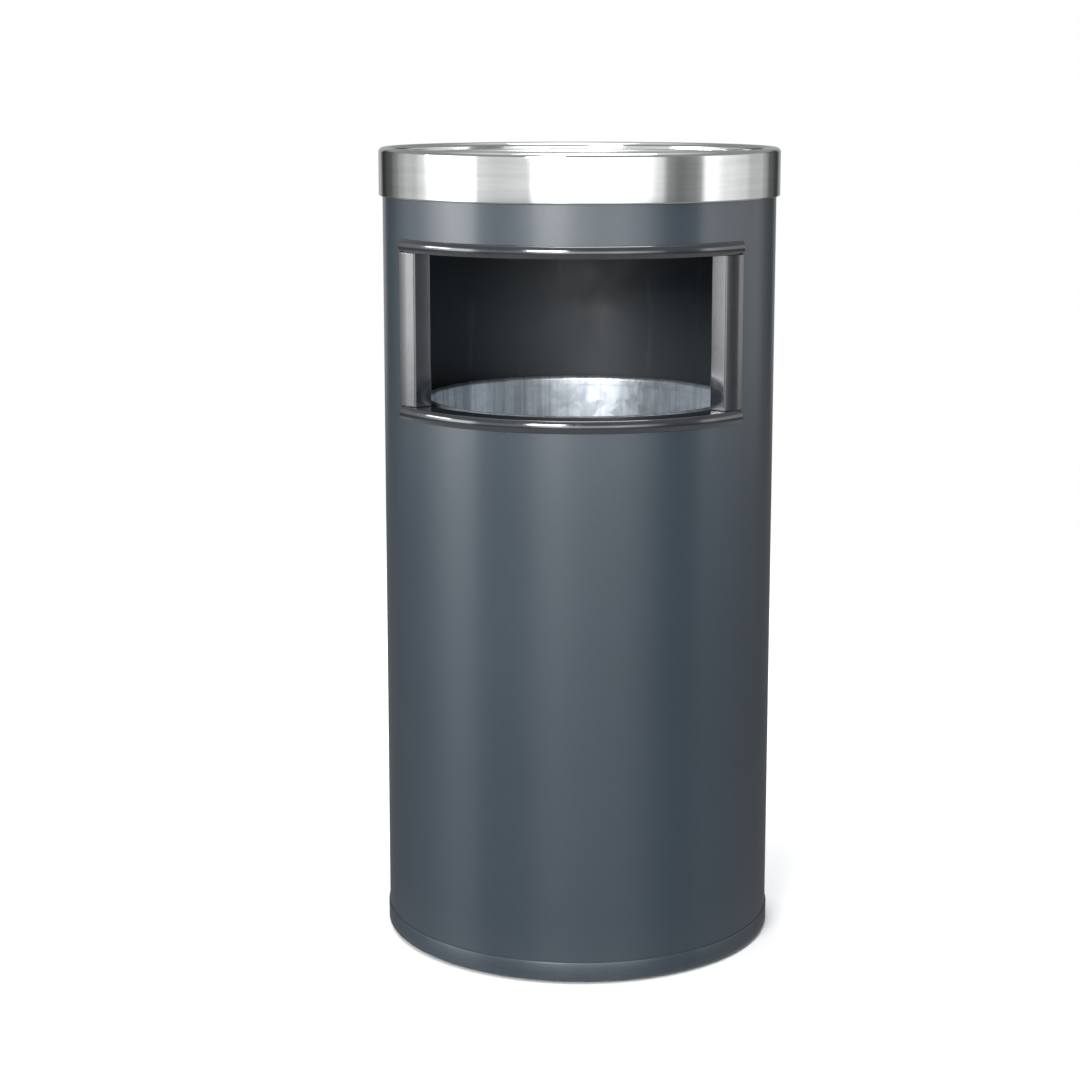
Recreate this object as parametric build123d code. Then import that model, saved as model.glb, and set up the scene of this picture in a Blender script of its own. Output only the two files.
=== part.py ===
from build123d import *
import math
import os

# Ashtray bin: a round steel shell on four feet, with a framed aperture in the front, a lift-off
# stainless top ring that carries an ash bowl, and a lift-out liner with two drop handles.
# Millimetres. The origin is on the floor, on the bin's axis. +Z is up and the aperture faces -Y.

# Driving dimensions
HEIGHT = 760.0
RING_R = 190.0
BODY_R = 186.5
SHELL_T = 1.5
SHELL_Z0 = 4.2
SHELL_Z1 = 758.4

# Aperture and its frame
CLEAR_Z0 = 525.0
CLEAR_Z1 = 667.0
BEAD_H = 12.0
BEAD_SIDE = 1.0
CORNER_DEG = 50.5
OUTER_DEG = 56.5
CUT_DEG = 55.0
FRAME_T = 1.5
RETURN_R = 166.5
CORNER_R = 183.5
FRAME_R = RING_R
HEM_R = 1.6

# Top ring
RING_T = 1.2
SKIRT_Z0 = 715.0
SHOULDER_R = 4.8
CROWN_W = 10.0
SEAT_Z = 752.0
SEAT_R = 168.5
SEAT_LIP = 6.0
LUG_COUNT = 4

# Ash bowl
BOWL_T = 1.2
BOWL_RIM_R = 178.5
BOWL_TOP_R = 164.3
BOWL_FOOT_R = 150.0
BOWL_Z0 = 712.0
BOWL_DOME = 3.0

# Hoop inside the mouth of the shell
HOOP_T = 3.0
HOOP_Z0 = 728.0
HOOP_Z1 = 748.0

# Base pan, base ring and feet
PAN_Z = 8.0
PAN_T = 1.5
PAN_FLANGE_Z = 24.0
RIDGE_R = 142.0
RIDGE_H = 5.0
BASE_RING_T = 1.0
BASE_RING_Z0 = 3.0
BASE_RING_Z1 = 20.0
FOOT_COUNT = 4
FOOT_AT_R = 160.0
FOOT_R = 15.5
SCREW_R = 2.5

# Liner
LINER_T = 1.0
LINER_RIM_R = 146.0
LINER_RIM_Z = 523.0
LINER_FOOT_R = 134.0
LINER_Z0 = 9.8
WALL_Z1 = 514.0
BEAD_R = 3.5
LINER_BASE_Z = 20.0

# Liner handles and their eyelets
PIVOT_X = 148.5
PIVOT_Z = 500.0
WIRE_R = 2.5
LEG_Y = 36.0
HANDLE_DROP = 28.0
BEND_R = 6.0
EYE_Y = 24.5
EYE_LENGTH = 9.0
EYE_R = 4.4
EAR_W = 16.0
EAR_T = 1.5
EAR_Z0 = 474.0
RIVET_Z = 485.0
RIVET_R = 1.55
RIVET_HEAD_R = 3.2

GAP = 0.3
RUNNING = 0.05


def spun(points, radii, thickness, side=Side.LEFT):
    """A round sheet-metal piece: the outline (radius, height) thickened to one side and turned."""
    path = FilletPolyline(*points, radius=radii)
    section = make_face(offset(path, amount=thickness, side=side))
    return revolve(Plane.XZ * section, Axis.Z, 360)


def tube(r_out, r_in, z0, z1):
    """A plain tube on the bin's axis."""
    ring = Circle(r_out) - Circle(r_in)
    return extrude(Pos(0, 0, z0) * ring, z1 - z0)


def rod(radius, z0, z1):
    """A plain round bar on the local Z axis."""
    return extrude(Pos(0, 0, z0) * Circle(radius), z1 - z0)


def polar(radius, degrees):
    """A point in plan, at an angle counted from the middle of the front (-Y) towards +X."""
    a = math.radians(degrees)
    return (radius * math.sin(a), -radius * math.cos(a))


def sector(half_deg, radius, z0, z1):
    """A wedge about the front of the bin, used to cut or keep a stretch of arc."""
    steps = 6
    rim = [polar(radius, half_deg * (2 * i / steps - 1)) for i in range(steps + 1)]
    return extrude(Pos(0, 0, z0) * make_face(Polyline((0, 0), *rim, (0, 0))), z1 - z0)


def round_the_axis(piece, count, start_deg=45.0):
    """Copies of a piece, evenly round the bin's axis."""
    return [Rot(0, 0, start_deg + 360 * i / count) * piece for i in range(count)]


# Body ------------------------------------------------------------------------------------------

def body_shell():
    shell = tube(BODY_R, BODY_R - SHELL_T, SHELL_Z0, SHELL_Z1)
    clearance = FRAME_T + GAP
    window = sector(CUT_DEG, BODY_R * 1.6, CLEAR_Z0 - clearance, CLEAR_Z1 + clearance)
    return shell - window


def top_hoop():
    return tube(BODY_R - SHELL_T, BODY_R - SHELL_T - HOOP_T, HOOP_Z0, HOOP_Z1)


def base_ring():
    """Edge band round the foot of the shell, turned in under its lower edge."""
    outer = BODY_R + 0.1 + BASE_RING_T
    points = [(outer - 9, BASE_RING_Z0), (outer, BASE_RING_Z0), (outer, BASE_RING_Z1)]
    band = spun(points, [1.05], BASE_RING_T)
    top_edges = band.edges().group_by(Axis.Z)[-1].sort_by(SortBy.RADIUS)
    return fillet(top_edges[-1], BASE_RING_T * 0.7)


def base_pan():
    """Bottom of the bin: a disc with an upturned flange and a ridge that centres the liner."""
    flange_r = BODY_R - SHELL_T - 0.1
    pan = spun([(0, PAN_Z), (flange_r, PAN_Z), (flange_r, PAN_FLANGE_Z)], [4.0], PAN_T)
    top = PAN_Z + PAN_T
    outline = Polyline((RIDGE_R - 4, top), (RIDGE_R - 1.5, top + RIDGE_H),
                       (RIDGE_R + 1.5, top + RIDGE_H), (RIDGE_R + 4, top), (RIDGE_R - 4, top))
    ridge = revolve(Plane.XZ * make_face(outline), Axis.Z, 360)
    holes = [Pos(FOOT_AT_R, 0, 0) * rod(SCREW_R + 0.2, 0, 20)]
    return pan + ridge - round_the_axis(holes[0], FOOT_COUNT)


def foot():
    """Rubber foot, slightly conical, with a recess that hides the screw's head."""
    block = loft([Pos(0, 0, 0) * Circle(FOOT_R - 1.5), Pos(0, 0, PAN_Z) * Circle(FOOT_R)])
    return Pos(FOOT_AT_R, 0, 0) * (block - rod(6.0, -1, 4.5) - rod(SCREW_R + 0.2, 0, 20))


def foot_screw():
    head = rod(4.6, 2.0, 4.5)
    slot = Pos(0, 0, 2.0) * Box(1.2, 12.0, 2.0)
    return Pos(FOOT_AT_R, 0, 0) * (head + rod(SCREW_R, 4.5, 16.5) - slot)


def foot_washer():
    top = PAN_Z + PAN_T
    return Pos(FOOT_AT_R, 0, top) * (rod(5.0, 0, 1.0) - rod(SCREW_R + 0.2, -1, 2))


def foot_nut():
    z0 = PAN_Z + PAN_T + 1.0
    nut = extrude(Pos(0, 0, z0) * RegularPolygon(4.6, 6), 4.0)
    return Pos(FOOT_AT_R, 0, 0) * (nut - rod(SCREW_R + RUNNING, 0, 30))


# Aperture frame --------------------------------------------------------------------------------

def front_arc(section, half_deg):
    """A section (radius, height) turned through an arc about the middle of the front."""
    return Rot(0, 0, -90 - half_deg) * revolve(Plane.XZ * section, Axis.Z, 2 * half_deg)


def frame_rail(z_edge, up):
    """Long member: a crowned bead outside the shell and a return sleeve with a hemmed end."""
    seat = BODY_R + GAP
    side = seat + BEAD_SIDE
    far = z_edge + up * BEAD_H
    bead = make_face([Polyline((side, z_edge), (seat, z_edge), (seat, far), (side, far)),
                      ThreePointArc((side, far), (FRAME_R, (z_edge + far) / 2), (side, z_edge))])
    sleeve = Pos((RETURN_R + side) / 2, z_edge + up * FRAME_T / 2)
    sleeve = sleeve * Rectangle(side - RETURN_R, FRAME_T)
    hem = Pos(RETURN_R, z_edge + up * HEM_R) * Circle(HEM_R)
    return front_arc(bead, OUTER_DEG) + front_arc(sleeve + hem, CUT_DEG - 0.5)


def frame_jamb(mirrored):
    """Side member: a face that slopes in from a proud outer edge, then a radial return."""
    inward = CORNER_R - RETURN_R
    corner = polar(CORNER_R, CORNER_DEG)
    a = math.radians(CORNER_DEG)
    end = (corner[0] - inward * math.sin(a), corner[1] + inward * math.cos(a))
    points = [polar(BODY_R + GAP, OUTER_DEG), polar(FRAME_R, OUTER_DEG), corner, end]
    path = FilletPolyline(*points, radius=[1.6, 2.0])
    section = make_face(offset(path, amount=FRAME_T, side=Side.RIGHT))
    hem_at = (end[0] + HEM_R * math.cos(a), end[1] + HEM_R * math.sin(a))
    section = section + Pos(*hem_at) * Circle(HEM_R)
    z0 = CLEAR_Z0 + 0.05
    jamb = extrude(Pos(0, 0, z0) * section, CLEAR_Z1 - CLEAR_Z0 - 0.1)
    if mirrored:
        jamb = mirror(jamb, Plane.YZ)
    return jamb


# Top ring and ash bowl -------------------------------------------------------------------------

def top_ring():
    """Spun stainless ring: returned lower edge, skirt, rounded crown, inner wall and bowl seat."""
    inner = RING_R - CROWN_W
    points = [(RING_R - 2.7, SKIRT_Z0), (RING_R, SKIRT_Z0), (RING_R, HEIGHT), (inner, HEIGHT),
              (inner, SEAT_Z), (SEAT_R, SEAT_Z), (SEAT_R, SEAT_Z - SEAT_LIP)]
    return spun(points, [1.3, SHOULDER_R, SHOULDER_R, 1.5, 1.5], RING_T)


def ring_lug():
    """Angle lug under the seat: it reaches down inside the hoop and keeps the ring central."""
    outer = BODY_R - SHELL_T - HOOP_T - 0.5
    seat_under = SEAT_Z - RING_T
    leg = Pos(outer - 0.75, 0, seat_under - 16) * Box(1.5, 26, 32)
    foot_plate = Pos(outer - 5.0, 0, seat_under - 0.75) * Box(10, 26, 1.5)
    keep = tube(outer, outer - 14, seat_under - 40, seat_under)
    return (leg + foot_plate) & keep


def ash_bowl():
    """Spun dish with a flat rim that rests on the ring's seat."""
    z = SEAT_Z + GAP
    points = [(BOWL_RIM_R, z), (BOWL_TOP_R, z), (BOWL_FOOT_R, BOWL_Z0), (0, BOWL_Z0 + BOWL_DOME)]
    return spun(points, [3.0, 9.0], BOWL_T, Side.RIGHT)


# Liner -----------------------------------------------------------------------------------------

def liner_wall():
    """Tapered wall of the liner."""
    top_r = LINER_RIM_R - BEAD_R
    foot_r = LINER_FOOT_R - LINER_T
    outline = Polyline((foot_r, LINER_Z0), (foot_r + LINER_T, LINER_Z0), (top_r + LINER_T, WALL_Z1),
                       (top_r, WALL_Z1), (foot_r, LINER_Z0))
    return revolve(Plane.XZ * make_face(outline), Axis.Z, 360)


def liner_rim():
    """Reinforcing rim on the wall's top edge: a short leg rolled outwards round a wire."""
    bead_z = LINER_RIM_Z - BEAD_R
    leg_z0 = WALL_Z1 + 0.1
    leg = Pos(LINER_RIM_R - BEAD_R + LINER_T / 2, (leg_z0 + bead_z) / 2)
    leg = leg * Rectangle(LINER_T, bead_z - leg_z0)
    curl = Circle(BEAD_R) - Circle(BEAD_R - LINER_T)
    open_side = Pos(-1.2, -BEAD_R) * Rectangle(2.4, 2 * BEAD_R - 0.8)
    curl = Pos(LINER_RIM_R, bead_z) * (curl - open_side)
    return revolve(Plane.XZ * (leg + curl), Axis.Z, 360)


def liner_rim_wire():
    section = Pos(LINER_RIM_R, LINER_RIM_Z - BEAD_R) * Circle(BEAD_R - LINER_T - 0.1)
    return revolve(Plane.XZ * section, Axis.Z, 360)


def liner_radius_at(z):
    """Outer radius of the liner's wall at a height."""
    top_r = LINER_RIM_R - BEAD_R + LINER_T
    return LINER_FOOT_R + (top_r - LINER_FOOT_R) * (z - LINER_Z0) / (WALL_Z1 - LINER_Z0)


def liner_base():
    """Bottom of the liner: a disc with a flange turned down inside the wall."""
    r = liner_radius_at(LINER_BASE_Z) - LINER_T - 0.5
    points = [(r, LINER_Z0 + 0.5), (r, LINER_BASE_Z), (0, LINER_BASE_Z)]
    return spun(points, [3.0], LINER_T)


def rivet_place(piece):
    """Puts a piece made along +X on the rivet's axis, square to the liner's wall."""
    turn = math.degrees(math.asin(EYE_Y / liner_radius_at(PIVOT_Z)))
    return Pos(0, 0, RIVET_Z) * (Rot(0, 0, turn) * (Rot(0, 90, 0) * piece))


def liner_ear():
    """Eyelet riveted to the liner: a curved strap below and a tube for the handle's end."""
    wall = liner_radius_at(PIVOT_Z) + 0.1
    strap = tube(wall + EAR_T, wall, EAR_Z0, PIVOT_Z + EYE_R)
    strap = strap & (Pos(wall, EYE_Y, PIVOT_Z) * Box(40, EAR_W, 80))
    at_eye = Pos(PIVOT_X, EYE_Y, PIVOT_Z)
    eye = at_eye * (Rot(90, 0, 0) * rod(EYE_R, -EYE_LENGTH / 2, EYE_LENGTH / 2))
    web = Pos(PIVOT_X - 4, EYE_Y, PIVOT_Z) * Box(8, EYE_LENGTH, 2 * EYE_R)
    bore = at_eye * (Rot(90, 0, 0) * rod(WIRE_R + RUNNING, -EYE_LENGTH, EYE_LENGTH))
    hole = rivet_place(rod(RIVET_R + 0.15, 100, 200))
    return strap + web + eye - rod(wall, 0, HEIGHT) - bore - hole


def ear_rivet():
    """Rivet through the ear and the liner's wall, with a low head at each end."""
    outside = liner_radius_at(PIVOT_Z) + 0.1 + EAR_T + 0.1
    inside = liner_radius_at(RIVET_Z) - LINER_T - 0.15
    shank = rod(RIVET_R, inside - 0.5, outside + 0.5)
    heads = rod(RIVET_HEAD_R, outside, outside + 1.2) + rod(RIVET_HEAD_R, inside - 1.2, inside)
    return rivet_place(shank + heads)


def four_corners(piece):
    """The piece at +X +Y, and its mirror images at the other three eyelet places."""
    front = mirror(piece, Plane.XZ)
    return [piece, front, mirror(piece, Plane.YZ), mirror(front, Plane.YZ)]


def liner_handle():
    """Drop handle on the +X side: one bent wire whose ends turn inwards through the eyelets."""
    y_end = EYE_Y - EYE_LENGTH / 2 - 2
    z_grip = PIVOT_Z - HANDLE_DROP
    route = [(PIVOT_X, y_end, PIVOT_Z), (PIVOT_X, LEG_Y, PIVOT_Z), (PIVOT_X, LEG_Y, z_grip),
             (PIVOT_X, -LEG_Y, z_grip), (PIVOT_X, -LEG_Y, PIVOT_Z), (PIVOT_X, -y_end, PIVOT_Z)]
    path = FilletPolyline(*route, radius=BEND_R)
    section = Plane(origin=route[0], z_dir=(0, 1, 0)) * Circle(WIRE_R)
    return sweep(section, path=path)


def drilled_liner_wall():
    """The liner's wall with the holes for the eyelets' rivets."""
    return liner_wall() - four_corners(rivet_place(rod(RIVET_R + 0.15, 100, 200)))


def nodes():
    parts = {
        "body_shell": body_shell(),
        "top_hoop": top_hoop(),
        "base_ring": base_ring(),
        "base_pan": base_pan(),
        "foot_screws": Compound(round_the_axis(foot_screw(), FOOT_COUNT)),
        "foot_washers": Compound(round_the_axis(foot_washer(), FOOT_COUNT)),
        "foot_nuts": Compound(round_the_axis(foot_nut(), FOOT_COUNT)),
        "frame_top": frame_rail(CLEAR_Z1, 1),
        "frame_bottom": frame_rail(CLEAR_Z0, -1),
        "frame_right": frame_jamb(False),
        "frame_left": frame_jamb(True),
        "top_ring": top_ring(),
        "ash_bowl": ash_bowl(),
        "liner_wall": drilled_liner_wall(),
        "liner_base": liner_base(),
        "liner_rim": liner_rim(),
        "liner_rim_wire": liner_rim_wire(),
        "ear_rivets": Compound(four_corners(ear_rivet())),
        "liner_handle_right": liner_handle(),
        "liner_handle_left": mirror(liner_handle(), Plane.YZ),
    }
    for i, piece in enumerate(round_the_axis(foot(), FOOT_COUNT), 1):
        parts[f"foot_{i}"] = piece
    for i, piece in enumerate(round_the_axis(ring_lug(), LUG_COUNT), 1):
        parts[f"ring_lug_{i}"] = piece
    for i, piece in enumerate(four_corners(liner_ear()), 1):
        parts[f"liner_ear_{i}"] = piece
    return parts


os.makedirs("parts", exist_ok=True)
for name, part in nodes().items():
    export_step(part, f"parts/{name}.step")
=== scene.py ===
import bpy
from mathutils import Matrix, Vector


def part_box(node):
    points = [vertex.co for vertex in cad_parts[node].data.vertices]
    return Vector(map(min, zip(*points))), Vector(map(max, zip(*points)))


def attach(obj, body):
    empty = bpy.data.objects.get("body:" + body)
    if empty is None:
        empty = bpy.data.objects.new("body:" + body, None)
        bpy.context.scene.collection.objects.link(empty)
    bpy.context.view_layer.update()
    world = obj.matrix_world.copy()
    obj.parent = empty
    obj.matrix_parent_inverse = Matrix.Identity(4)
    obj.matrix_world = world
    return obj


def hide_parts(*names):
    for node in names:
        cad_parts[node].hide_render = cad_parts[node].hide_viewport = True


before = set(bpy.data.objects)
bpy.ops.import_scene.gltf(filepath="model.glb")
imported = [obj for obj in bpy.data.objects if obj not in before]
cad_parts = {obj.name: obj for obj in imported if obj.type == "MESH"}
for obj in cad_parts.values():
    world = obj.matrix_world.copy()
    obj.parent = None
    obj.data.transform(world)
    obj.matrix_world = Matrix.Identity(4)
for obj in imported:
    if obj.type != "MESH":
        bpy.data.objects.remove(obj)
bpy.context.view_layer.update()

import math

import bmesh
import bpy
from mathutils import Matrix, Vector

# The visible ashtray bin, in metres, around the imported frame. +Z is up and the aperture faces -Y.
# Overall sizes come from the frame. The values below are sheet thicknesses, small radii and the
# seam's form, then the camera and the light.

MM = 0.001
SEGMENTS = 240

SHEET_T = 1.5 * MM
RING_T = 1.2 * MM
LINER_T = 1.0 * MM

# Aperture frame, with angles counted from the middle of the front
CORNER_DEG = 50.5
CUT_DEG = 55.0
CORNER_DROP = 3.0 * MM
HEM_R = 1.6 * MM

# Top ring and liner
CROWN_W = 10.0 * MM
SHOULDER_R = 4.8 * MM
WIRE_R = 2.5 * MM
LINER_FOOT_R = 134.0 * MM

# Lap seam at the back: a groove beside the sheet's edge, the lap, and the joggle back in
SEAM_DEG = 180.0
GAP_DEG = 0.45
GAP_SLOPE_DEG = 0.10
EDGE_DEG = 0.16
LAP_DEG = 4.4
JOGGLE_DEG = 3.0
GAP_DEPTH = 0.6 * MM
LAP_RISE = 0.7 * MM

RING_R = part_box("top_ring")[1].x
BODY_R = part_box("body_shell")[1].x
TOP_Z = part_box("top_ring")[1].z

# Camera, in metres, degrees and millimetres of lens
CAMERA_AZIMUTH = 4.3
CAMERA_AWAY = 2.2
CAMERA_HEIGHT = 0.820
CAMERA_PITCH = 9.69
CAMERA_YAW = 0.97
CAMERA_ROLL = 0.0
CAMERA_LENS = 76.7
CAMERA_SHIFT = -0.06

# Brightness of the surroundings by bearing from the camera's side of the bin, in degrees
LIGHT_LEFT = [(-180, 0.45), (-160, 0.5), (-150, 0.04), (-136, 0.12), (-128, 0.30), (-121, 0.55),
              (-114, 0.75), (-107, 0.75), (-100, 1.1), (-92, 2.0), (-84, 3.2), (-79, 4.8),
              (-65, 5.2), (-58, 1.1), (-46, 0.95), (-29, 1.05), (-22, 3.4), (-11, 4.2), (0, 2.7)]
LIGHT_RIGHT = [(0, 2.7), (14, 2.7), (24, 3.2), (36, 2.3), (46, 1.2), (51, 0.40), (58, 0.26),
               (68, 0.36), (71, 0.50), (77, 2.0), (92, 1.25), (107, 1.0), (114, 0.72),
               (125, 0.70), (131, 0.45), (138, 0.15), (152, 0.05), (164, 0.4), (180, 0.45)]


# Outlines --------------------------------------------------------------------------------------

def cross(a, b):
    return a.x * b.y - a.y * b.x


def spin2(v, angle):
    c, s = math.cos(angle), math.sin(angle)
    return Vector((v.x * c - v.y * s, v.x * s + v.y * c))


def arc(centre, start, angle, steps):
    """Points from start, turning by angle about centre."""
    centre, start = Vector(centre), Vector(start)
    return [centre + spin2(start - centre, angle * i / steps) for i in range(steps + 1)]


def rounded(points, radii, fine_deg=9.0):
    """An open outline whose inner corners are replaced by arcs."""
    points = [Vector(p) for p in points]
    out = [points[0]]
    for before, corner, after, radius in zip(points, points[1:], points[2:], radii):
        a, b = (before - corner).normalized(), (after - corner).normalized()
        half = a.angle(b) / 2
        centre = corner + (a + b).normalized() * (radius / math.sin(half))
        start = corner + a * (radius / math.tan(half))
        end = corner + b * (radius / math.tan(half))
        turn = math.copysign(math.pi - 2 * half, cross(start - centre, end - centre))
        out += arc(centre, start, turn, max(2, math.ceil(math.degrees(abs(turn)) / fine_deg)))
    return out + [points[-1]]


def beside(path, distance):
    """The same path moved sideways, to its left when distance is positive."""
    out = []
    for i, p in enumerate(path):
        ahead = (path[min(i + 1, len(path) - 1)] - p).normalized()
        behind = (p - path[max(i - 1, 0)]).normalized()
        ahead = ahead if ahead.length else behind
        behind = behind if behind.length else ahead
        along = (ahead + behind).normalized()
        left = Vector((-along.y, along.x))
        out.append(p + left * (distance / max(0.3, left.dot(Vector((-ahead.y, ahead.x))))))
    return out


def sheet(points, radii, thickness):
    """Closed outline of a bent sheet with softly rounded raw edges; thickness goes to the left."""
    path = rounded(points, radii)
    other = beside(path, thickness)[::-1]
    ends = []
    for a, b in ((path[-1], other[0]), (other[-1], path[0])):
        side = math.copysign(1.0, thickness)
        ends.append(arc((a + b) / 2, a, side * math.pi, 6)[1:-1])
    return path + ends[0] + other + ends[1]


def with_hem(path, thickness, hem_r):
    """Closed outline of a sheet whose last edge is rolled into a round hem on its left."""
    along = (path[-1] - path[-2]).normalized()
    left = Vector((-along.y, along.x)) * math.copysign(1.0, thickness)
    centre = path[-1] + left * hem_r
    reach = abs(thickness) - hem_r
    side = math.copysign(1.0, thickness)
    full = math.pi * 1.5 - math.asin(reach / hem_r)
    hem = arc(centre, path[-1], side * full, 20)[1:]
    other = beside(path, thickness)[::-1]
    keep = [p for p in other if (p - path[-1]).dot(along) < -hem_r]
    return path + hem + keep


# Meshes ----------------------------------------------------------------------------------------

def finished(name, verts, faces, body, slot, material, replaces=(), sharp_deg=32.0):
    """A mesh object with smooth shading, its finish and its place on a body."""
    mesh = bpy.data.meshes.new(name)
    mesh.from_pydata([tuple(v) for v in verts], [], faces)
    mesh.validate()
    mesh.update()
    piece = bpy.data.objects.new(name, mesh)
    bpy.context.scene.collection.objects.link(piece)
    fix_normals(mesh)
    mesh.polygons.foreach_set("use_smooth", [True] * len(mesh.polygons))
    mesh.set_sharp_from_angle(angle=math.radians(sharp_deg))
    mesh.materials.append(material)
    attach(piece, body)
    if replaces:
        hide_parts(*replaces)
    return piece


def fix_normals(mesh):
    """Turns every face outwards."""
    work = bmesh.new()
    work.from_mesh(mesh)
    bmesh.ops.recalc_face_normals(work, faces=work.faces)
    work.to_mesh(mesh)
    work.free()


def front_point(radius, degrees, z):
    """A point at an angle counted from the middle of the front towards +X."""
    a = math.radians(degrees)
    return Vector((radius * math.sin(a), -radius * math.cos(a), z))


def turned(outline, start_deg=0.0, end_deg=360.0, segments=SEGMENTS):
    """Vertices and faces of a closed outline (radius, height) turned about the bin's axis."""
    whole = abs(end_deg - start_deg) >= 359.99
    count = len(outline)
    rings = segments if whole else segments + 1
    verts, faces = [], []
    for i in range(rings):
        angle = start_deg + (end_deg - start_deg) * i / segments
        verts += [front_point(max(p.x, 0.0), angle, p.y) for p in outline]
    for i in range(segments):
        a, b = i * count, ((i + 1) % rings) * count
        for j in range(count):
            k = (j + 1) % count
            faces.append((a + j, b + j, b + k, a + k))
    if not whole:
        faces.append(tuple(range(count)))
        faces.append(tuple((rings - 1) * count + j for j in range(count))[::-1])
    return verts, faces


def dish(outline, segments=SEGMENTS):
    """As turned, for an outline whose first and last points lie on the axis."""
    count = len(outline)
    inner = outline[1:-1]
    verts, faces = turned(inner, segments=segments)
    faces = [f for i, f in enumerate(faces) if i % len(inner) != len(inner) - 1]
    first, last = len(verts), len(verts) + 1
    verts += [Vector((0, 0, outline[0].y)), Vector((0, 0, outline[count - 1].y))]
    for i in range(segments):
        a, b = i * len(inner), ((i + 1) % segments) * len(inner)
        faces.append((first, b, a))
        faces.append((last, a + len(inner) - 1, b + len(inner) - 1))
    return verts, faces


def raised(outline, z0, z1):
    """Vertices and faces of a closed plan outline raised from z0 to z1, with eased ends."""
    count = len(outline)
    ease, support = 0.25 * MM, 1.0 * MM
    middle = sum(outline, Vector((0, 0))) / count
    levels = [(z0, ease), (z0 + ease, 0.0), (z0 + support, 0.0)]
    levels += [(z1 - support, 0.0), (z1 - ease, 0.0), (z1, ease)]
    verts, faces = [], []
    for z, shrink in levels:
        for p in outline:
            q = p + (middle - p).normalized() * shrink
            verts.append(Vector((q.x, q.y, z)))
    for level in range(len(levels) - 1):
        a, b = level * count, (level + 1) * count
        for j in range(count):
            k = (j + 1) % count
            faces.append((a + j, a + k, b + k, b + j))
    faces.append(tuple(range(count))[::-1])
    faces.append(tuple((len(levels) - 1) * count + j for j in range(count)))
    return verts, faces


def tube_along(path, radius, sides=20):
    """Vertices and faces of a round bar along 3-D points, with rounded ends."""
    verts, faces = [], []
    rings = []
    dome = 5
    first = (path[1] - path[0]).normalized()
    last = (path[-1] - path[-2]).normalized()
    for i in range(dome):
        a = math.pi / 2 * (i + 0.35) / dome
        rings.append((path[0] + first * radius * (1 - math.sin(a)), first, radius * math.sin(a)))
    for i in range(1, len(path) - 1):
        along = ((path[i + 1] - path[i]).normalized() + (path[i] - path[i - 1]).normalized())
        rings.append((path[i], along.normalized(), radius))
    for i in range(dome)[::-1]:
        a = math.pi / 2 * (i + 0.35) / dome
        rings.append((path[-1] - last * radius * (1 - math.sin(a)), last, radius * math.sin(a)))
    normal = first.orthogonal().normalized()
    before = first
    for centre, along, r in rings:
        normal = before.rotation_difference(along) @ normal
        normal = (normal - along * normal.dot(along)).normalized()
        before = along
        other = along.cross(normal)
        for s in range(sides):
            a = 2 * math.pi * s / sides
            verts.append(centre + (normal * math.cos(a) + other * math.sin(a)) * r)
    for i in range(len(rings) - 1):
        a, b = i * sides, (i + 1) * sides
        for s in range(sides):
            t = (s + 1) % sides
            faces.append((a + s, a + t, b + t, b + s))
    faces.append(tuple(range(sides))[::-1])
    faces.append(tuple((len(rings) - 1) * sides + s for s in range(sides)))
    return verts, faces


def moved(made, matrix):
    verts, faces = made
    return [matrix @ v for v in verts], faces


def joined(*parts):
    """Several sets of vertices and faces as one."""
    verts, faces = [], []
    for some_verts, some_faces in parts:
        offset = len(verts)
        verts += some_verts
        faces += [tuple(i + offset for i in f) for f in some_faces]
    return verts, faces


# Materials -------------------------------------------------------------------------------------

class Nodes:
    """Adds nodes to a tree. Each input is a value or another node's output."""

    def __init__(self, tree):
        self.tree = tree

    def add(self, kind, inputs=None, **settings):
        node = self.tree.nodes.new(kind)
        for key, value in settings.items():
            setattr(node, key, value)
        for key, value in (inputs or {}).items():
            if isinstance(value, bpy.types.NodeSocket):
                self.tree.links.new(value, node.inputs[key])
            else:
                node.inputs[key].default_value = value
        return node

    def math(self, operation, a, b=0.0, c=0.0):
        return self.add("ShaderNodeMath", {0: a, 1: b, 2: c}, operation=operation).outputs[0]


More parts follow.
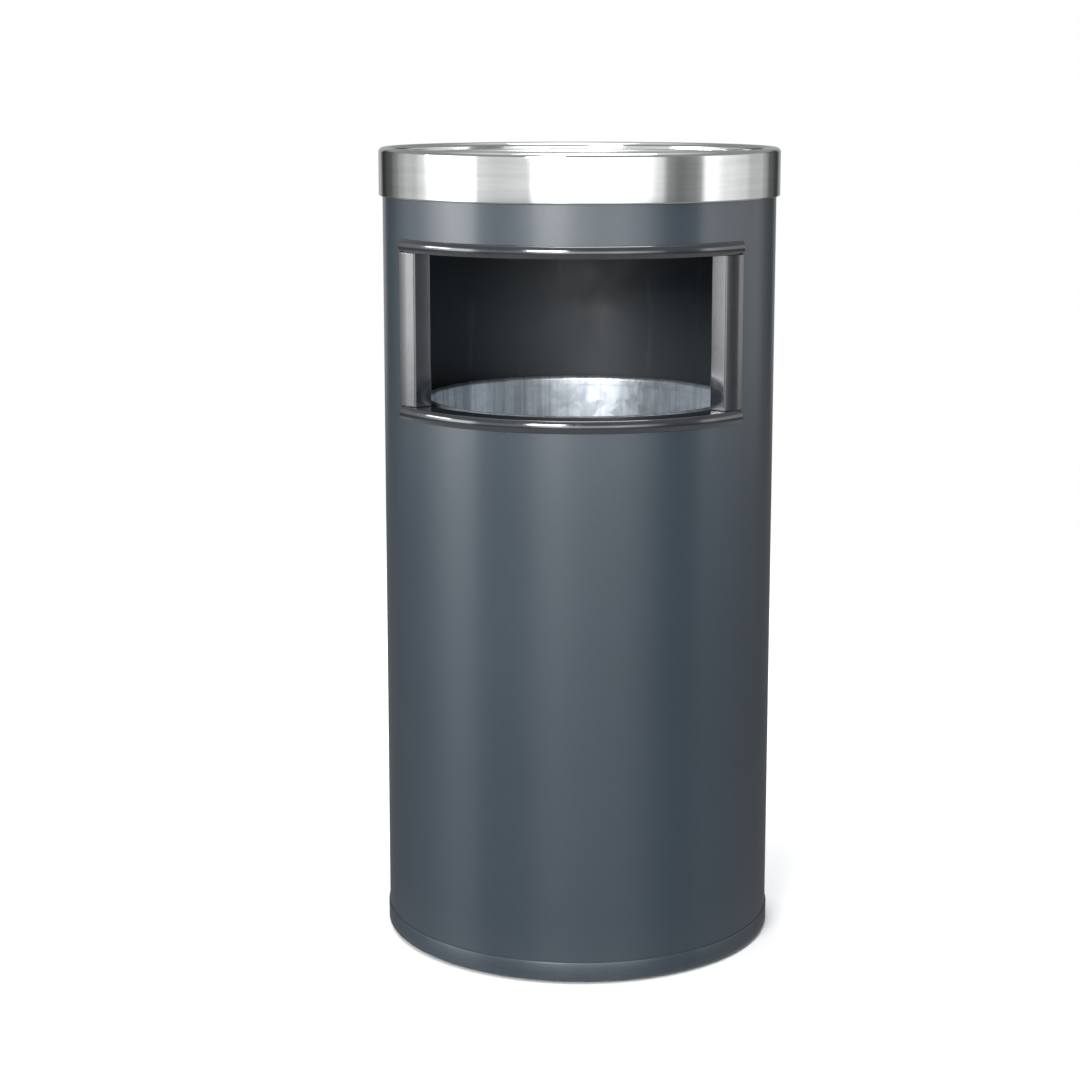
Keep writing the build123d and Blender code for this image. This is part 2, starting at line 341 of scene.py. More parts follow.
class Finish(Nodes):
    """A Principled material built from procedural nodes in the object's own coordinates."""

    def __init__(self, name, **sockets):
        self.material = bpy.data.materials.new(name)
        self.material.use_nodes = True
        super().__init__(self.material.node_tree)
        self.shader = self.tree.nodes["Principled BSDF"]
        self.place = self.add("ShaderNodeTexCoord").outputs["Object"]
        for key, value in sockets.items():
            self.shader.inputs[key.replace("_", " ")].default_value = value

    def noise(self, scale, detail=3.0, stretch=(1, 1, 1), where=None, rough=0.55):
        spot = self.add("ShaderNodeVectorMath", {0: where or self.place, 1: stretch},
                        operation="MULTIPLY").outputs[0]
        node = self.add("ShaderNodeTexNoise", {"Vector": spot, "Scale": scale, "Detail": detail,
                                               "Roughness": rough})
        return node.outputs["Fac"]

    def range(self, value, low, high, to_low, to_high):
        node = self.add("ShaderNodeMapRange", {"Value": value, "From Min": low, "From Max": high,
                                               "To Min": to_low, "To Max": to_high})
        return node.outputs["Result"]

    def mix(self, factor, a, b):
        return self.add("ShaderNodeMix", {0: factor, 6: a, 7: b}, data_type="RGBA").outputs[2]

    def polar(self):
        """Angle round the bin's axis, radius and height, as one vector."""
        xyz = self.add("ShaderNodeSeparateXYZ", {0: self.place}).outputs
        angle = self.math("ARCTAN2", xyz[0], xyz[1])
        across = self.math("POWER", xyz[0], 2.0)
        along = self.math("POWER", xyz[1], 2.0)
        radius = self.math("SQRT", self.math("ADD", across, along))
        return self.add("ShaderNodeCombineXYZ", {0: angle, 1: radius, 2: xyz[2]}).outputs[0]

    def height(self):
        return self.add("ShaderNodeSeparateXYZ", {0: self.place}).outputs[2]

    def set(self, **links):
        for key, value in links.items():
            self.tree.links.new(value, self.shader.inputs[key.replace("_", " ")])

    def bump(self, height, strength, distance):
        node = self.add("ShaderNodeBump", {"Height": height, "Strength": strength,
                                           "Distance": distance})
        self.set(Normal=node.outputs["Normal"])


def shade(colour, factor):
    return tuple(c * factor for c in colour[:3]) + (1.0,)


def body_paint():
    """Satin powder coat: fine orange peel, slight colour drift, a little dust near the floor."""
    paint = (0.0205, 0.0335, 0.0470, 1.0)
    dust = (0.15, 0.155, 0.155, 1.0)
    m = Finish("body_paint", IOR=1.62, Coat_Weight=0.6, Coat_Roughness=0.14)
    grains = m.noise(330.0, 3.0)
    drift = m.math("ADD", m.math("MULTIPLY", m.noise(6.0, 4.0), 0.55),
                   m.math("MULTIPLY", grains, 0.45))
    colour = m.mix(m.range(drift, 0.3, 0.7, 0.0, 1.0), shade(paint, 0.88), shade(paint, 1.12))
    near_floor = m.range(m.height(), 0.0, 0.06, 0.09, 0.0)
    film = m.math("MULTIPLY", near_floor, m.noise(70.0, 6.0))
    m.set(Base_Color=m.mix(film, colour, dust))
    worn = m.range(grains, 0.3, 0.7, 0.30, 0.35)
    m.set(Roughness=m.math("ADD", worn, m.math("MULTIPLY", film, 0.8)))
    m.bump(grains, 0.16, 0.30 * MM)
    return m.material


def inner_paint():
    """The same coat inside the shell: thinner, duller and scuffed by the liner."""
    m = Finish("inner_paint", Specular_IOR_Level=0.45)
    paint = (0.030, 0.038, 0.044, 1.0)
    scuff = m.range(m.noise(60.0, 6.0, (1, 1, 0.12)), 0.62, 0.78, 0.0, 0.5)
    m.set(Base_Color=m.mix(scuff, paint, (0.085, 0.09, 0.095, 1.0)))
    m.set(Roughness=m.range(m.noise(22.0, 4.0), 0.3, 0.7, 0.38, 0.56))
    m.bump(m.noise(520.0, 2.0), 0.14, 0.4 * MM)
    return m.material


def frame_enamel():
    """Gloss enamel of the aperture frame, near black, with fine handling marks."""
    m = Finish("frame_enamel", IOR=1.8, Coat_Weight=0.3, Coat_Roughness=0.04)
    tone = m.range(m.noise(30.0, 3.0), 0.3, 0.7, 0.0, 1.0)
    m.set(Base_Color=m.mix(tone, (0.010, 0.012, 0.015, 1.0), (0.018, 0.021, 0.025, 1.0)))
    marks = m.range(m.noise(210.0, 6.0, (1, 1, 0.3)), 0.55, 0.8, 0.12, 0.30)
    m.set(Roughness=marks)
    m.bump(m.noise(160.0, 2.0), 0.08, 0.3 * MM)
    return m.material


def stainless(name, rough_low, rough_high, rings):
    """Stainless steel with a circumferential grain; rings adds spin lines across the radius."""
    m = Finish(name, Metallic=1.0, Anisotropic=0.6, Anisotropic_Rotation=0.25)
    polar = m.polar()
    grain = m.noise(1.0, 4.0, (3.0, 2600.0 if rings else 300.0, 2600.0), polar, 0.7)
    broad = m.noise(1.0, 3.0, (1.5, 160.0, 160.0), polar)
    cloud = m.noise(9.0, 4.0)
    tone = m.range(m.math("ADD", grain, broad), 0.7, 1.3, 0.0, 1.0)
    steel = m.mix(tone, (0.565, 0.575, 0.560, 1.0), (0.68, 0.685, 0.665, 1.0))
    m.set(Base_Color=m.mix(m.range(cloud, 0.55, 0.8, 0.0, 0.25), steel, (0.50, 0.495, 0.47, 1.0)))
    rough = m.range(grain, 0.3, 0.7, rough_low, rough_high)
    m.set(Roughness=m.math("ADD", rough, m.range(cloud, 0.5, 0.8, 0.0, 0.05)))
    tangent = m.add("ShaderNodeTangent", direction_type="RADIAL", axis="Z").outputs[0]
    m.set(Tangent=tangent)
    m.bump(grain, 0.10, 0.05 * MM)
    return m.material


def galvanised(name="galvanised"):
    """Hot-dip zinc: crystal spangle in two sizes, dark vertical streaks and a faint white bloom."""
    m = Finish(name, Metallic=0.85)
    warp = m.add("ShaderNodeTexNoise", {"Vector": m.place, "Scale": 60.0, "Detail": 3.0})
    spot = m.add("ShaderNodeVectorMath", {0: warp.outputs["Color"], 1: (0.012, 0.012, 0.012)},
                 operation="MULTIPLY").outputs[0]
    spot = m.add("ShaderNodeVectorMath", {0: m.place, 1: spot}, operation="ADD").outputs[0]
    cells = m.add("ShaderNodeTexVoronoi", {"Vector": spot, "Scale": 85.0}, feature="F1")
    small = m.add("ShaderNodeTexVoronoi", {"Vector": spot, "Scale": 210.0}, feature="F1")
    cell_tone = m.add("ShaderNodeSeparateColor", {0: cells.outputs["Color"]}).outputs[0]
    small_tone = m.add("ShaderNodeSeparateColor", {0: small.outputs["Color"]}).outputs[1]
    tone = m.math("ADD", m.math("MULTIPLY", cell_tone, 0.65), m.math("MULTIPLY", small_tone, 0.35))
    polar = m.polar()
    fine = m.noise(1.0, 5.0, (26.0, 8.0, 5.0), polar, 0.65)
    broad = m.noise(1.0, 2.0, (7.5, 3.0, 2.0), polar)
    streaks = m.math("ADD", m.math("MULTIPLY", fine, 0.5), m.math("MULTIPLY", broad, 0.5))
    zinc = m.mix(tone, (0.60, 0.65, 0.70, 1.0), (0.80, 0.85, 0.90, 1.0))
    # dull darkens the zinc's colour in vertical streaks round the liner and makes those streaks a
    # little rougher
    dull = m.range(streaks, 0.47, 0.62, 0.0, 0.7)
    m.set(Base_Color=m.mix(dull, zinc, (0.33, 0.38, 0.43, 1.0)))
    rough = m.range(tone, 0.0, 1.0, 0.30, 0.46)
    m.set(Roughness=m.math("ADD", rough, m.math("MULTIPLY", dull, 0.12)))
    m.bump(m.math("ADD", tone, m.noise(40.0, 4.0)), 0.10, 0.25 * MM)
    return m.material


def zinc_plate():
    """Bright zinc on wire and fasteners, with slight yellowing and drawn lines."""
    m = Finish("zinc_plate", Metallic=1.0)
    tone = m.range(m.noise(180.0, 4.0), 0.3, 0.7, 0.0, 1.0)
    m.set(Base_Color=m.mix(tone, (0.50, 0.50, 0.48, 1.0), (0.68, 0.68, 0.67, 1.0)))
    m.set(Roughness=m.range(m.noise(420.0, 5.0), 0.3, 0.7, 0.24, 0.42))
    m.bump(m.noise(900.0, 3.0), 0.10, 0.08 * MM)
    return m.material


def foot_rubber():
    """Moulded rubber: matt, finely pitted and greyed with dust on its lower edge."""
    m = Finish("foot_rubber", Specular_IOR_Level=0.35)
    low = m.range(m.height(), 0.0, 0.004, 0.6, 0.0)
    dusty = m.math("MULTIPLY", low, m.range(m.noise(300.0, 4.0), 0.3, 0.7, 0.3, 1.0))
    m.set(Base_Color=m.mix(dusty, (0.018, 0.018, 0.018, 1.0), (0.09, 0.088, 0.082, 1.0)))
    m.set(Roughness=m.range(m.noise(240.0, 3.0), 0.3, 0.7, 0.62, 0.85))
    m.bump(m.noise(1500.0, 3.0), 0.30, 0.15 * MM)
    return m.material


PAINT = body_paint()
INSIDE = inner_paint()
ENAMEL = frame_enamel()
RING_STEEL = stainless("ring_steel", 0.055, 0.10, False)
BOWL_STEEL = stainless("bowl_steel", 0.20, 0.34, True)
ZINC_COAT = galvanised()
PLATE = zinc_plate()
RUBBER = foot_rubber()


# Housing ---------------------------------------------------------------------------------------

def seam_rise(degrees):
    """How far the shell's outside stands out at the seam; negative in the groove."""
    past = (degrees - SEAM_DEG + 180.0) % 360.0 - 180.0
    if past < -GAP_DEG:
        return -GAP_DEPTH * max(0.0, 1 + (past + GAP_DEG) / GAP_SLOPE_DEG)
    if past < -EDGE_DEG:
        return -GAP_DEPTH
    if past < 0.0:
        return LAP_RISE + (LAP_RISE + GAP_DEPTH) * past / EDGE_DEG
    if past < LAP_DEG:
        return LAP_RISE
    t = min((past - LAP_DEG) / JOGGLE_DEG, 1.0)
    return LAP_RISE * (1 - t * t * (3 - 2 * t))


def shell():
    """Rolled shell: two walls with the aperture cut through them and a lap seam at the back."""
    low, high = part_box("body_shell")
    room = SHEET_T + 0.3 * MM
    cut_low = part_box("frame_bottom")[1].z - room
    cut_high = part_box("frame_top")[0].z + room
    steps, bands = 240, 30
    past_seam = [-GAP_DEG - GAP_SLOPE_DEG, -GAP_DEG, -EDGE_DEG, 0.0, LAP_DEG,
                 LAP_DEG + JOGGLE_DEG / 4, LAP_DEG + JOGGLE_DEG * 3 / 4]
    angles = [360.0 * i / steps for i in range(steps)] + [CUT_DEG, 360.0 - CUT_DEG]
    angles = sorted(set(round(a, 3) for a in angles + [SEAM_DEG + p for p in past_seam]))
    rows = [low.z + (high.z - low.z) * i / bands for i in range(bands + 1)]
    rows = sorted(set(rows + [cut_low, cut_high]))
    columns, levels = len(angles), len(rows)
    verts, faces = [], []
    for skin in (0.0, SHEET_T):
        for z in rows:
            for a in angles:
                rise = seam_rise(a) if skin == 0.0 else 0.0
                verts.append(front_point(BODY_R + rise - skin, a, z))

    def at(skin, row, column):
        return skin * columns * levels + row * columns + column % columns

    def solid(row, column):
        if not 0 <= row < levels - 1:
            return False
        first, last = angles[column % columns], angles[(column + 1) % columns]
        middle = (first + last) / 2 if last > first else (first + last + 360.0) / 2 % 360.0
        front = min(middle, 360.0 - middle) < CUT_DEG
        level = (rows[row] + rows[row + 1]) / 2
        return not (front and cut_low < level < cut_high)

    for r in range(levels - 1):
        for c in range(columns):
            if not solid(r, c):
                continue
            for skin in (0, 1):
                faces.append((at(skin, r, c), at(skin, r, c + 1), at(skin, r + 1, c + 1),
                              at(skin, r + 1, c)))
            sides = ((solid(r - 1, c), (r, c), (r, c + 1)),
                     (solid(r + 1, c), (r + 1, c), (r + 1, c + 1)),
                     (solid(r, c - 1), (r, c), (r + 1, c)),
                     (solid(r, c + 1), (r, c + 1), (r + 1, c + 1)))
            for covered, a, b in sides:
                if not covered:
                    faces.append((at(0, *a), at(0, *b), at(1, *b), at(1, *a)))
    piece = finished("shell", verts, faces, "housing", "body_paint", PAINT, ["body_shell"])
    piece.data.materials.append(INSIDE)
    inside = BODY_R - SHEET_T * 0.9
    for face in piece.data.polygons:
        if face.center.xy.length < inside:
            face.material_index = 1


def seam_welds():
    """Shallow spot-weld marks down the middle of the lap."""
    low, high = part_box("body_shell")
    count, radius, height, sunk = 13, 3.8 * MM, 0.55 * MM, 0.4 * MM
    first, last = low.z + 40 * MM, high.z - 70 * MM
    cap = [Vector((radius * t, height * (1 - t * t) ** 0.5 * (1 - 0.55 * (1 - t) ** 2)))
           for t in (0.0, 0.25, 0.5, 0.7, 0.85, 0.95, 1.0)]
    button = dish(cap + [Vector((radius, -sunk)), Vector((0.0, -sunk))], segments=28)
    parts = []
    for i in range(count):
        z = first + (last - first) * i / (count - 1)
        spot = front_point(BODY_R + LAP_RISE - 0.02 * MM, SEAM_DEG + LAP_DEG / 2, z)
        turn = Vector((spot.x, spot.y, 0.0)).to_track_quat("Z", "Y").to_matrix().to_4x4()
        parts.append(moved(button, Matrix.Translation(spot) @ turn))
    finished("seam_welds", *joined(*parts), "housing", "body_paint", PAINT)


def hoop():
    """Flat hoop inside the shell's mouth, with eased corners."""
    low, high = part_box("top_hoop")
    outer, inner = high.x, high.x - 3.0 * MM
    start = (outer, (low.z + high.z) / 2)
    corners = [(outer, high.z), (inner, high.z), (inner, low.z), (outer, low.z)]
    outline = rounded([start] + corners + [start], [0.8 * MM] * 4)[:-1]
    finished("hoop", *turned(outline), "housing", "body_paint", INSIDE, ["top_hoop"])


def foot_band():
    """Band round the foot: turned in under the shell, with a soft upper edge."""
    low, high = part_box("base_ring")
    outer = high.x
    outline = sheet([(outer - 9 * MM, low.z), (outer, low.z), (outer, high.z)], [1.05 * MM],
                    1.0 * MM)
    finished("foot_band", *turned(outline), "housing", "body_paint", PAINT, ["base_ring"])


def pan():
    """Pressed pan: upturned flange and a hollow ridge that centres the liner."""
    low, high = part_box("base_pan")
    flange = high.x
    ridge, rise, half = 142 * MM, 5 * MM, 5 * MM
    z = low.z
    points = [(0, z), (ridge - half, z), (ridge - 1.5 * MM, z + rise), (ridge + 1.5 * MM, z + rise),
              (ridge + half, z), (flange, z), (flange, high.z)]
    path = rounded(points, [1.2 * MM, 1.6 * MM, 1.6 * MM, 1.2 * MM, 4.0 * MM])
    outline = path + beside(path, SHEET_T)[::-1]
    outline[-1] = Vector((0, z + SHEET_T))
    finished("pan", *dish(outline), "housing", "body_paint", INSIDE, ["base_pan"])


def pads():
    """Rubber feet with an eased tread and a recess for the screw's head."""
    for i in range(1, 5):
        low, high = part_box(f"foot_{i}")
        centre = (low + high) / 2
        r = (high.x - low.x) / 2
        top = high.z
        hole, recess, depth = 2.7 * MM, 6.0 * MM, 4.5 * MM
        points = [(hole, depth + 1 * MM), (hole, depth), (recess, depth), (recess, 0),
                  (r - 1.5 * MM, 0), (r, top), (hole, top), (hole, depth + 1 * MM)]
        radii = [0.3 * MM, 0.8 * MM, 0.9 * MM, 1.6 * MM, 0.8 * MM, 0.4 * MM]
        outline = rounded(points, radii)[:-1]
        made = moved(turned(outline, segments=64), Matrix.Translation((centre.x, centre.y, 0)))
        finished(f"pad_{i}", *made, "housing", "foot_rubber", RUBBER, [f"foot_{i}"])


def rail(name, node, edge, up):
    """Long frame member: crowned bead, and a sleeve whose inner edge is hemmed."""
    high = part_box(node)[1]
    half_deg = math.degrees(math.asin(high.x / RING_R))
    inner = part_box("frame_right")[0].x / math.sin(math.radians(CORNER_DEG))
    seat, side = BODY_R + 0.15 * MM, BODY_R + 1.3 * MM
    height = 12.0 * MM
    far = edge + up * height
    sagitta = RING_R - side
    radius = (height * height / 4 + sagitta * sagitta) / (2 * sagitta)
    centre = Vector((RING_R - radius, (edge + far) / 2))
    reach = math.asin(height / 2 / radius)
    crown = [centre + Vector((math.cos(a), up * math.sin(a))) * radius
             for a in [reach * (1 - 2 * i / 18) for i in range(1, 18)]]
    bead = [Vector((seat, far - up * 0.3 * MM)), Vector((seat + 0.25 * MM, far))]
    bead += [Vector((side - 0.4 * MM, far)), Vector((side, far - up * 0.15 * MM))] + crown
    bead += [Vector((side, edge + up * 0.15 * MM)), Vector((side - 0.4 * MM, edge))]
    path = [Vector((side - 1.2 * MM, edge)), Vector((inner + HEM_R, edge))]
    sleeve = with_hem(path, -up * SHEET_T, HEM_R)
    outline = bead + sleeve[:-1] + [Vector((seat, edge + up * SHEET_T))]
    made = turned(outline, -half_deg, half_deg, 96)
    finished(name, *made, "housing", "frame_enamel", ENAMEL, [node], 40.0)


def jamb(name, node, side):
    """Side member: a crowned face that slopes in from its proud edge, then a hemmed return."""
    outer_deg = math.degrees(math.asin(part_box("frame_top")[1].x / RING_R))
    z0, z1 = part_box(node)[0].z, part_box(node)[1].z
    corner_r = BODY_R - CORNER_DROP
    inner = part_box("frame_right")[0].x / math.sin(math.radians(CORNER_DEG)) + HEM_R
    places = [(BODY_R + 0.2 * MM, outer_deg), (RING_R, outer_deg), (corner_r, CORNER_DEG),
              (inner, CORNER_DEG)]
    points = [front_point(r, side * a, 0).xy for r, a in places]
    chord = points[2] - points[1]
    outward = Vector((chord.y, -chord.x)).normalized()
    outward *= math.copysign(1.0, outward.dot(points[1]))
    edge_r, crown_r, corner_ease, apex = 1.6 * MM, 45.0 * MM, 2.0 * MM, 1.6 * MM
    points.insert(2, (points[1] + points[2]) / 2 + outward * apex)
    path = rounded(points, [edge_r, crown_r, corner_ease], 3.0)
    outline = with_hem(path, -side * SHEET_T, HEM_R)
    finished(name, *raised(outline, z0, z1), "housing", "frame_enamel", ENAMEL, [node], 40.0)


# Top ring, lugs and bowl -----------------------------------------------------------------------

def ring():
    """Spun ring: returned lower edge, skirt, rounded crown, inner wall, seat and lip."""
    low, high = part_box("top_ring")
    seat_r, seat_z, lip = 168.5 * MM, TOP_Z - 8 * MM, 6 * MM
    inner, turned_in = RING_R - CROWN_W, 2.7 * MM
    points = [(RING_R - turned_in, low.z), (RING_R, low.z), (RING_R, high.z), (inner, high.z),
              (inner, seat_z), (seat_r, seat_z), (seat_r, seat_z - lip)]
    radii = [1.3 * MM, SHOULDER_R, SHOULDER_R, 1.5 * MM, 1.5 * MM]
    finished("ring", *turned(sheet(points, radii, RING_T), segments=320), "top_cap", "stainless",
             RING_STEEL, ["top_ring"])


def lugs():
    """Angle lugs under the seat, each a bent strip that reaches down inside the hoop."""
    for i in range(1, 5):
        low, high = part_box(f"ring_lug_{i}")
        centre = (low + high) / 2
        degrees = math.degrees(math.atan2(centre.x, -centre.y))
        outer = BODY_R - SHEET_T - 3.5 * MM
        points = [(outer - 10 * MM, high.z), (outer, high.z), (outer - 0.2 * MM, low.z + 7 * MM),
                  (outer - 2.5 * MM, low.z)]
        outline = sheet(points, [2.2 * MM, 6.0 * MM], -SHEET_T)
        made = turned(outline, degrees - 4.1, degrees + 4.1, 10)
        finished(f"lug_{i}", *made, "top_cap", "stainless", RING_STEEL, [f"ring_lug_{i}"], 40.0)


def bowl():
    """Spun dish: flat rim, steep wall and a slightly domed floor."""
    low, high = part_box("ash_bowl")
    rim, mouth_r, foot_r, dome = high.x, 164.3 * MM, 150 * MM, 3 * MM
    z = high.z - RING_T
    points = [(rim, z), (mouth_r, z), (foot_r, low.z), (0, low.z + dome)]
    path = rounded(points, [3.0 * MM, 9.0 * MM])[::-1]
    top = beside(path, RING_T)
    top[0] = Vector((0, path[0].y + RING_T))
    edge = arc((path[-1] + top[-1]) / 2, path[-1], math.pi, 6)[1:-1]
    finished("bowl", *dish(path + edge + top[::-1]), "ash_bowl", "stainless", BOWL_STEEL,
             ["ash_bowl"])


# Liner -----------------------------------------------------------------------------------------

def liner_wall_radius(z):
    """Outer radius of the liner's tapered wall."""
    low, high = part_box("liner_wall")
    return LINER_FOOT_R + (high.x - LINER_FOOT_R) * (z - low.z) / (high.z - low.z)


def liner():
    """Tapered wall with an outside lap, rolled rim, wire and recessed bottom."""
    low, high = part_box("liner_wall")
    bands = 24
    levels = [low.z + (high.z - low.z) * i / bands for i in range(bands + 1)]
    outside = [Vector((liner_wall_radius(z), z)) for z in levels]
    inside = [Vector((p.x - LINER_T, p.y)) for p in outside[::-1]]
    finished("liner_wall_skin", *turned(outside + inside), "liner", "galvanised", ZINC_COAT,
             ["liner_wall"])
    lap_t, lap_gap, lap_start, lap_end = 0.9 * MM, 0.02 * MM, -108.0, -104.4
    lap = [Vector((p.x + lap_t, p.y)) for p in outside]
    lap += [Vector((p.x + lap_gap, p.y)) for p in outside[::-1]]
    finished("liner_lap", *turned(lap, lap_start, lap_end, 6), "liner", "galvanised", ZINC_COAT)

    rim_low, rim_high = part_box("liner_rim")
    bead, centre_r = 3.5 * MM, 146.0 * MM
    centre = Vector((centre_r, rim_high.z - bead))
    leg = Vector((centre.x - bead, rim_low.z))
    curl = arc(centre, (centre.x - bead, centre.y), -math.radians(292), 40)
    path = [leg] + curl
    other = beside(path, -LINER_T)[::-1]
    finished("liner_rim_roll", *turned(path + other), "liner", "galvanised", ZINC_COAT,
             ["liner_rim"])

    base_low, base_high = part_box("liner_base")
    r = base_high.x
    points = [(r, base_low.z), (r, base_high.z), (0, base_high.z)]
    bottom = rounded([Vector(p) for p in points], [3.0 * MM])
    under = beside(bottom, LINER_T)
    under[-1] = Vector((0, bottom[-1].y - LINER_T))
    outline = bottom[::-1] + under
    finished("liner_bottom", *dish(outline), "liner", "galvanised", ZINC_COAT, ["liner_base"])


def ears():
    """Eyelets: a strap that follows the wall and curls round the handle's end."""
    for i in range(1, 5):
        low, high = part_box(f"liner_ear_{i}")
        side = 1 if low.x > 0 else -1
        pivot_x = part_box("liner_handle_right")[0].x + WIRE_R
        pivot_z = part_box("liner_handle_right")[1].z - WIRE_R
        y0, y1 = low.y, high.y
        middle_y = (y0 + y1) / 2
        wall = liner_wall_radius(pivot_z) + 0.1 * MM
        base_x = math.sqrt(wall * wall - middle_y * middle_y)
        eye_r = WIRE_R + 0.25 * MM
        start = Vector((pivot_x - eye_r, pivot_z))
        loop = arc((pivot_x, pivot_z), start, -math.radians(285), 30)
        path = rounded([(base_x, low.z), (base_x, pivot_z - 9 * MM), (start.x, pivot_z - 3 * MM),
                        start], [4 * MM, 3 * MM])[:-1] + loop
        outline = path + beside(path, SHEET_T)[::-1]
        steps = 8
        verts, faces = [], []
        for s in range(steps + 1):
            y = y0 + (y1 - y0) * s / steps
            curve = math.sqrt(wall * wall - y * y) - base_x
            for p in outline:
                follow = min(max((pivot_z - 5 * MM - p.y) / (6 * MM), 0.0), 1.0)
                narrow = 1.0 - 0.40 * (1.0 - follow)
                across = middle_y + (y - middle_y) * narrow
                out = p.x + (SHEET_T + curve) * follow
                verts.append(Vector((side * out, across, p.y)))
        count = len(outline)
        for s in range(steps):
            a, b = s * count, (s + 1) * count
            for j in range(count):
                k = (j + 1) % count
                faces.append((a + j, a + k, b + k, b + j))
        faces.append(tuple(range(count))[::-1])
        faces.append(tuple(steps * count + j for j in range(count)))
        finished(f"eyelet_{i}", verts, faces, "liner", "galvanised", ZINC_COAT,
                 [f"liner_ear_{i}"], 40.0)


def rivets():
    """Domed rivet heads on the eyelets and flat ones inside the liner."""
    low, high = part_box("ear_rivets")
    z = (low.z + high.z) / 2
    head, dome = 3.2 * MM, 1.15 * MM
    profile = [Vector((head * math.sin(a), dome * math.cos(a)))
               for a in [math.pi / 2 * t / 7 for t in range(8)]]
    button = dish(profile + [Vector((head, -0.6 * MM)), Vector((0, -0.6 * MM))], segments=28)
    outside = liner_wall_radius(z) + 0.25 * MM + SHEET_T
    inside = liner_wall_radius(z) - LINER_T - 0.05 * MM
    ear_y = sum(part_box("liner_ear_1")[n].y for n in (0, 1)) / 2
    lean = math.degrees(math.asin(ear_y / outside))
    parts = []
    for degrees in (90 - lean, 90 + lean, -90 - lean, -90 + lean):
        for radius, facing in ((outside, 1), (inside, -1)):
            spot = front_point(radius, degrees, z)
            turn = (Vector((spot.x, spot.y, 0)) * facing).to_track_quat("Z", "Y").to_matrix()
            parts.append(moved(button, Matrix.Translation(spot) @ turn.to_4x4()))
    finished("rivet_heads", *joined(*parts), "liner", "zinc_plate", PLATE, ["ear_rivets"])


def handle(name, node, body):
    """Drop handle: one bent wire whose ends run in the eyelets."""
    low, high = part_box(node)
    x = (low.x + high.x) / 2
    top, grip = high.z - WIRE_R, low.z + WIRE_R
    leg = high.y - WIRE_R
    end = 18 * MM
    flat = [(end, top), (leg, top), (leg, grip), (-leg, grip), (-leg, top), (-end, top)]
    path = rounded(flat, [6 * MM] * 4, 10.0)
    points = [Vector((x, p.x, p.y)) for p in path]
    finished(name, *tube_along(points, WIRE_R), body, "zinc_plate", PLATE, [node])


def carried_over():
    """CAD pieces whose shape is already right: the foot fasteners and the rim's wire."""
    for node in ("foot_screws", "foot_washers", "foot_nuts", "liner_rim_wire"):
        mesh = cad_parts[node].data
        mesh.materials.clear()
        mesh.materials.append(PLATE)


# Stage -----------------------------------------------------------------------------------------

def floor():
    """Pale floor that fades out with distance, so that it has no visible edge."""
    radius, rings, segments = 2.3, 12, 128
    verts, faces = [Vector((0, 0, 0))], []
    for i in range(1, rings + 1):
        r = radius * i / rings
        verts += [front_point(r, 360.0 * s / segments, 0.0) for s in range(segments)]
    for s in range(segments):
        faces.append((0, 1 + (s + 1) % segments, 1 + s))
    for i in range(rings - 1):
        a, b = 1 + i * segments, 1 + (i + 1) * segments
        for s in range(segments):
            t = (s + 1) % segments
            faces.append((a + s, a + t, b + t, b + s))
    mesh = bpy.data.meshes.new("floor")
    mesh.from_pydata([tuple(v) for v in verts], [], faces)
    ground = bpy.data.objects.new("floor", mesh)
    bpy.context.scene.collection.objects.link(ground)
    m = Finish("floor_paper", Roughness=0.75, Specular_IOR_Level=0.2)
    m.set(Base_Color=m.mix(m.noise(3.0, 3.0), (0.87, 0.87, 0.87, 1.0), (0.90, 0.90, 0.90, 1.0)))
    away = m.add("ShaderNodeVectorMath", {0: m.place}, operation="LENGTH").outputs["Value"]
    solid_to, gone_at = 1.0, 2.2
    m.set(Alpha=m.range(away, solid_to, gone_at, 1.0, 0.0))
    mesh.materials.append(m.material)
    ground.visible_glossy = False
    ground.visible_diffuse = False


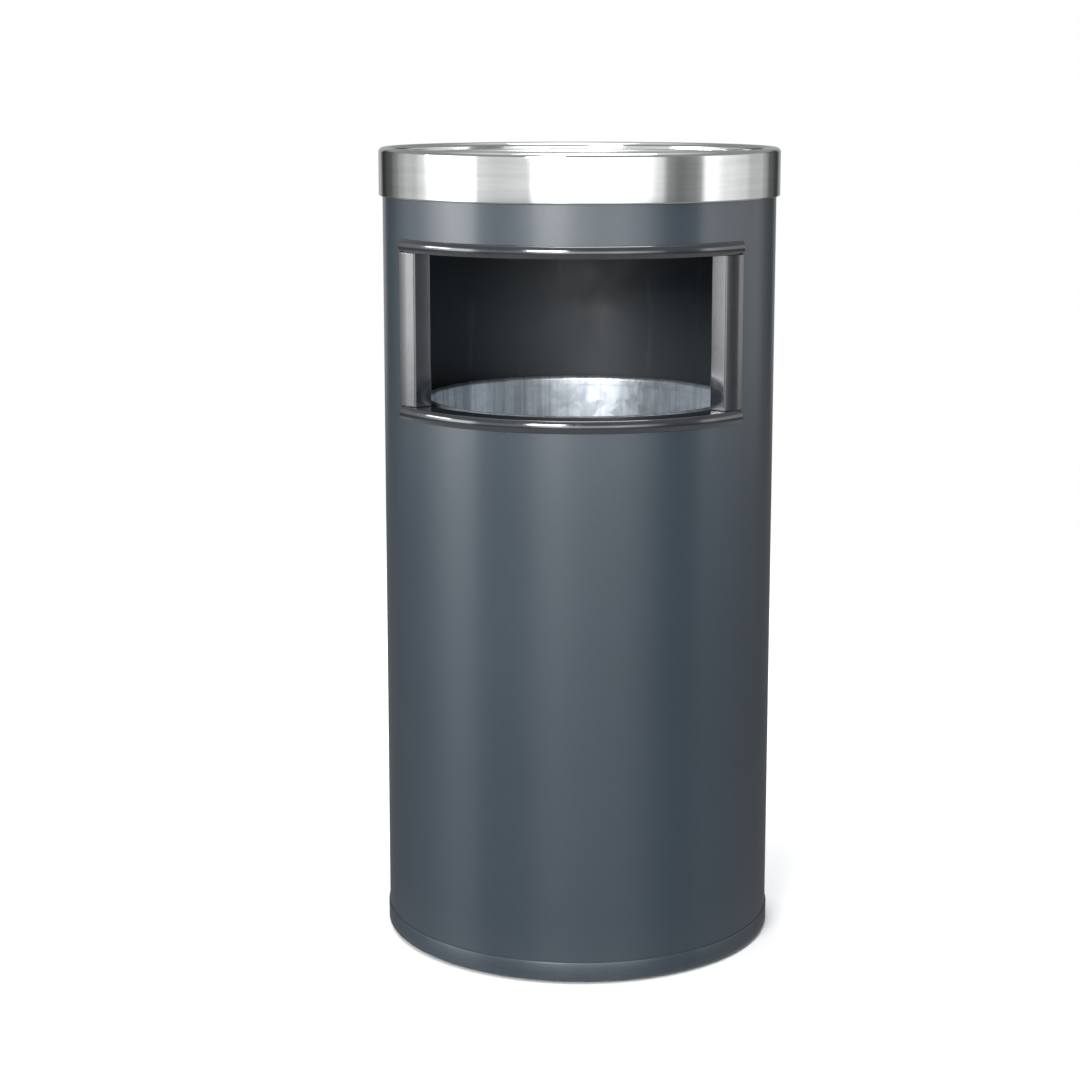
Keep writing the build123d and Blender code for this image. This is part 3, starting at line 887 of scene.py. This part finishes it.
def studio():
    """White surroundings, with the light and dark columns that the ring and paint mirror."""
    world = bpy.data.worlds.new("studio")
    bpy.context.scene.world = world
    world.use_nodes = True
    world.node_tree.nodes.clear()
    nodes = Nodes(world.node_tree)
    add, calc = nodes.add, nodes.math

    way = add("ShaderNodeTexCoord").outputs["Generated"]
    xyz = add("ShaderNodeSeparateXYZ", {0: way}).outputs
    bearing = calc("ARCTAN2", xyz[0], calc("MULTIPLY", xyz[1], -1.0))
    bearing = calc("SUBTRACT", bearing, math.radians(CAMERA_AZIMUTH))
    bearing = calc("WRAP", bearing, math.pi, -math.pi)
    peak = 8.0

    def columns(first, stops):
        """Brightness by bearing over the half turn that starts at first."""
        share = calc("DIVIDE", calc("SUBTRACT", bearing, math.radians(first)), math.pi)
        ramp = add("ShaderNodeValToRGB", {0: share})
        ramp.color_ramp.interpolation = "EASE"
        elements = ramp.color_ramp.elements
        elements.remove(elements[-1])
        for i, (degrees, level) in enumerate(stops):
            spot = (degrees - first) / 180.0
            stop = elements.new(spot) if i else elements[0]
            stop.position = spot
            stop.color = (level / peak,) * 3 + (1.0,)
        return calc("MULTIPLY", ramp.outputs[0], peak)

    def rise(start, end):
        return add("ShaderNodeMapRange", {"Value": xyz[2], "From Min": start, "From Max": end},
                   interpolation_type="SMOOTHSTEP").outputs["Result"]

    def blend(factor, a, b):
        return add("ShaderNodeMix", {0: factor, 2: a, 3: b}, data_type="FLOAT").outputs[0]

    column = blend(calc("GREATER_THAN", bearing, 0.0), columns(-180.0, LIGHT_LEFT),
                   columns(0.0, LIGHT_RIGHT))
    # From straight down to straight up: paper, dim strip, columns, upper wall and ceiling
    paper, upper_wall, ceiling = 0.50, 0.38, 0.95
    strip_share, strip_least = 0.07, 0.12
    strip = calc("ADD", calc("MULTIPLY", column, strip_share), strip_least)
    level = blend(rise(-0.46, -0.34), paper, strip)
    level = blend(rise(-0.18, -0.09), level, column)
    level = blend(rise(0.16, 0.32), level, upper_wall)
    level = blend(rise(0.66, 0.90), level, ceiling)
    lit = add("ShaderNodeBackground", {"Color": (0.97, 0.985, 1.0, 1.0), "Strength": level})
    seen = add("ShaderNodeBackground", {"Color": (1.0, 1.0, 1.0, 1.0), "Strength": 1.0})
    path = add("ShaderNodeLightPath")
    either = add("ShaderNodeMixShader", {0: path.outputs["Is Camera Ray"], 1: lit.outputs[0],
                                         2: seen.outputs[0]})
    add("ShaderNodeOutputWorld", {"Surface": either.outputs[0]})


def softbox(name, place, size, power, aim, mirrored=True):
    """A soft area light that the camera doesn't see; mirrored says if gloss shows it."""
    data = bpy.data.lights.new(name, "AREA")
    data.shape, data.size, data.size_y, data.energy = "RECTANGLE", size[0], size[1], power
    lamp = bpy.data.objects.new(name, data)
    bpy.context.scene.collection.objects.link(lamp)
    lamp.location = place
    lamp.rotation_mode = "QUATERNION"
    lamp.rotation_quaternion = (Vector(aim) - Vector(place)).to_track_quat("-Z", "Y")
    lamp.visible_camera = False
    lamp.visible_glossy = mirrored


def camera():
    """Eye just above the top ring, looking slightly down at the bin from a little to its right."""
    data = bpy.data.cameras.new("view")
    eye = bpy.data.objects.new("view", data)
    bpy.context.scene.collection.objects.link(eye)
    eye.location = front_point(CAMERA_AWAY, CAMERA_AZIMUTH, CAMERA_HEIGHT)
    turn = math.radians(CAMERA_AZIMUTH + CAMERA_YAW)
    eye.rotation_euler = (math.radians(90.0 - CAMERA_PITCH), math.radians(CAMERA_ROLL), turn)
    data.lens, data.sensor_width, data.shift_y = CAMERA_LENS, 36.0, CAMERA_SHIFT
    bpy.context.scene.camera = eye


shell()
seam_welds()
hoop()
foot_band()
pan()
pads()
rail("rail_top", "frame_top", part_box("frame_top")[0].z, 1)
rail("rail_bottom", "frame_bottom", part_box("frame_bottom")[1].z, -1)
jamb("jamb_right", "frame_right", 1)
jamb("jamb_left", "frame_left", -1)
ring()
lugs()
bowl()
liner()
ears()
rivets()
handle("handle_right", "liner_handle_right", "handle_right")
handle("handle_left", "liner_handle_left", "handle_left")
carried_over()
floor()
studio()
softbox("overhead", place=(0.2, -0.5, 2.8), size=(1.8, 1.4), power=40.0, aim=(0, 0, 0.6))
softbox("key", place=front_point(2.5, CAMERA_AZIMUTH - 18.0, 1.35), size=(0.9, 0.7),
        power=55.0, aim=(0, 0, 0.55))
softbox("side", place=front_point(2.5, CAMERA_AZIMUTH - 85.0, 1.05), size=(0.8, 0.35),
        power=11.0, aim=(0, 0, 0.65))
softbox("back", place=front_point(2.6, CAMERA_AZIMUTH + 196.0, 1.9), size=(1.6, 1.0),
        power=60.0, aim=(0, 0, 0.35), mirrored=False)
camera()
bpy.context.scene.view_settings.view_transform = "Standard"
